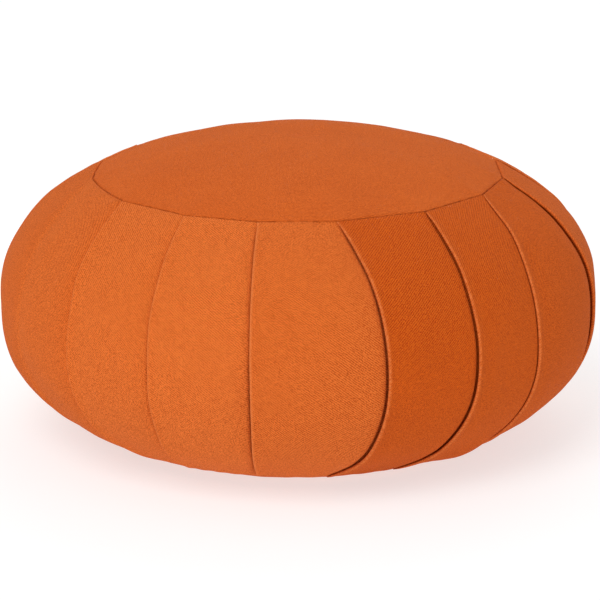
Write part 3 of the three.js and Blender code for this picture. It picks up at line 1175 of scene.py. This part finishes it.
def settings():
    scene = bpy.context.scene
    return scene.zafu_shape, scene.zafu_cloth, scene.zafu_stage


def seat_piece(piece, node, material):
    """Puts the material on a piece and lets the piece stand for its solid."""
    piece.data.materials.append(material)
    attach(piece, "root")
    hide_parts(node)


class ZafuSideBand(bpy.types.Operator):
    """Build the pleated side band"""

    bl_idname = "object.zafu_side_band"
    bl_label = "Side band"

    def execute(self, context):
        shape, cloth, _ = settings()
        piece = make_side_band(shape)
        material = twill_material("band_twill", cloth)
        seat_piece(piece, "pleated_side_band", material)
        return {"FINISHED"}


class ZafuTopPanel(bpy.types.Operator):
    """Build the domed top panel"""

    bl_idname = "object.zafu_top_panel"
    bl_label = "Top panel"

    def execute(self, context):
        shape, cloth, _ = settings()
        piece = make_top_panel(shape)
        material = twill_material("top_twill", cloth, grain=TOP_GRAIN)
        seat_piece(piece, "top_panel", material)
        return {"FINISHED"}


class ZafuBasePanel(bpy.types.Operator):
    """Build the base panel"""

    bl_idname = "object.zafu_base_panel"
    bl_label = "Base panel"

    def execute(self, context):
        shape, cloth, _ = settings()
        piece = make_base_panel(shape)
        material = twill_material("base_twill", cloth)
        seat_piece(piece, "base_panel", material)
        return {"FINISHED"}


# The stage, in metres. Each light has its azimuth and elevation in degrees, distance and width.
FLOOR_REACH = 6.0
FLOOR_CORNERS = ((-1, -1), (1, -1), (1, 1), (-1, 1))
SPECK_SHADE = 0.985
SPECK_SCALE = 3.0
KEY_LIGHT = (-24, 47, 2.4, 1.3)
BACK_LIGHT = (170, 42, 2.4, 1.6)


def make_floor(stage):
    mesh = bpy.data.meshes.new("floor")
    corners = [(x * FLOOR_REACH, y * FLOOR_REACH, 0) for x, y in FLOOR_CORNERS]
    mesh.from_pydata(corners, [], [(0, 1, 2, 3)])
    floor = bpy.data.objects.new("floor", mesh)
    bpy.context.scene.collection.objects.link(floor)
    shader = Shader("floor_paper")
    place = shader.node("ShaderNodeTexCoord", output=3)
    specks = shader.node("ShaderNodeTexNoise", inputs={"Vector": place, "Scale": SPECK_SCALE})
    low = tuple(SPECK_SHADE * part for part in stage.floor_colour)
    colour = shader.mix_colour(specks, (*low, 1.0), (*stage.floor_colour, 1.0))
    surface = shader.node(
        "ShaderNodeBsdfPrincipled",
        inputs={
            "Base Color": colour,
            "Roughness": 0.9,
            "Specular IOR Level": 0.1,
            "Emission Color": (1.0, 1.0, 1.0, 1.0),
            "Emission Strength": stage.floor_glow,
        },
    )
    mesh.materials.append(shader.finish(surface))


def make_light(name, place, watts, target):
    """A square area light at its place round the target, aimed at it."""
    azimuth, elevation, distance, width = place
    data = bpy.data.lights.new(name, "AREA")
    data.shape = "SQUARE"
    data.size = width
    data.energy = watts
    light = bpy.data.objects.new(name, data)
    a = math.radians(azimuth)
    e = math.radians(elevation)
    away = Vector((math.sin(a) * math.cos(e), -math.cos(a) * math.cos(e), math.sin(e)))
    light.location = Vector(target) + away * distance
    light.rotation_euler = away.to_track_quat("Z", "Y").to_euler()
    bpy.context.scene.collection.objects.link(light)


def make_camera():
    """The photograph's camera, from its fitted distance, height, roll and centre."""
    forward = Vector((0, math.cos(CAMERA_ELEVATION), -math.sin(CAMERA_ELEVATION)))
    up = Vector((0, math.sin(CAMERA_ELEVATION), math.cos(CAMERA_ELEVATION)))
    right = Vector((1, 0, 0))
    place = Vector((0, 0, WAIST_Z)) - forward * CAMERA_DISTANCE
    off_x = (FRAME_PIXELS / 2 - CENTRE_PIXEL[0]) / FOCAL_PIXELS
    off_y = (FRAME_PIXELS / 2 - CENTRE_PIXEL[1]) / FOCAL_PIXELS
    aim = (forward + right * off_x - up * off_y).normalized()
    turned_up = up - right * CAMERA_ROLL
    side = aim.cross(turned_up).normalized()
    true_up = side.cross(aim)
    camera_data = bpy.data.cameras.new("camera")
    camera_data.sensor_width = SENSOR
    camera_data.lens = SENSOR * FOCAL_PIXELS / FRAME_PIXELS
    camera = bpy.data.objects.new("camera", camera_data)
    turn = Matrix((side, true_up, -aim)).transposed().to_4x4()
    camera.matrix_world = Matrix.Translation(place * MM) @ turn
    bpy.context.scene.collection.objects.link(camera)
    bpy.context.scene.camera = camera


class ZafuStageBuild(bpy.types.Operator):
    """Build the floor, lights and camera"""

    bl_idname = "scene.zafu_stage"
    bl_label = "Stage"

    def execute(self, context):
        _, _, stage = settings()
        make_floor(stage)
        middle = (0, 0, WAIST_Z * MM)
        make_light("key", KEY_LIGHT, stage.key_strength, middle)
        make_light("back", BACK_LIGHT, stage.back_strength, middle)
        scene = context.scene
        scene.view_settings.view_transform = "Standard"
        world = bpy.data.worlds.new("sky")
        world.use_nodes = True
        background = world.node_tree.nodes["Background"]
        background.inputs["Color"].default_value = (1.0, 1.0, 1.0, 1.0)
        background.inputs["Strength"].default_value = stage.sky_strength
        scene.world = world
        make_camera()
        return {"FINISHED"}


class VIEW3D_PT_zafu(bpy.types.Panel):
    """The cushion's operators and sizes"""

    bl_label = "Zafu"
    bl_space_type = "VIEW_3D"
    bl_region_type = "UI"
    bl_category = "Zafu"

    def draw(self, context):
        layout = self.layout
        for operator in OPERATORS:
            layout.operator(operator.bl_idname)
        for group in settings():
            box = layout.box()
            for key in group.bl_rna.properties.keys():
                if key not in {"rna_type", "name"}:
                    box.prop(group, key)


OPERATORS = (ZafuSideBand, ZafuTopPanel, ZafuBasePanel, ZafuStageBuild)
GROUPS = {"zafu_shape": ZafuShape, "zafu_cloth": ZafuCloth, "zafu_stage": ZafuStage}
CLASSES = (*GROUPS.values(), *OPERATORS, VIEW3D_PT_zafu)


def register():
    for made in CLASSES:
        bpy.utils.register_class(made)
    for name, group in GROUPS.items():
        setattr(bpy.types.Scene, name, PointerProperty(type=group))


def unregister():
    for name in GROUPS:
        delattr(bpy.types.Scene, name)
    for made in reversed(CLASSES):
        bpy.utils.unregister_class(made)


def main():
    register()
    bpy.ops.object.zafu_side_band()
    bpy.ops.object.zafu_top_panel()
    bpy.ops.object.zafu_base_panel()
    bpy.ops.scene.zafu_stage()


if __name__ == "__main__":
    main()
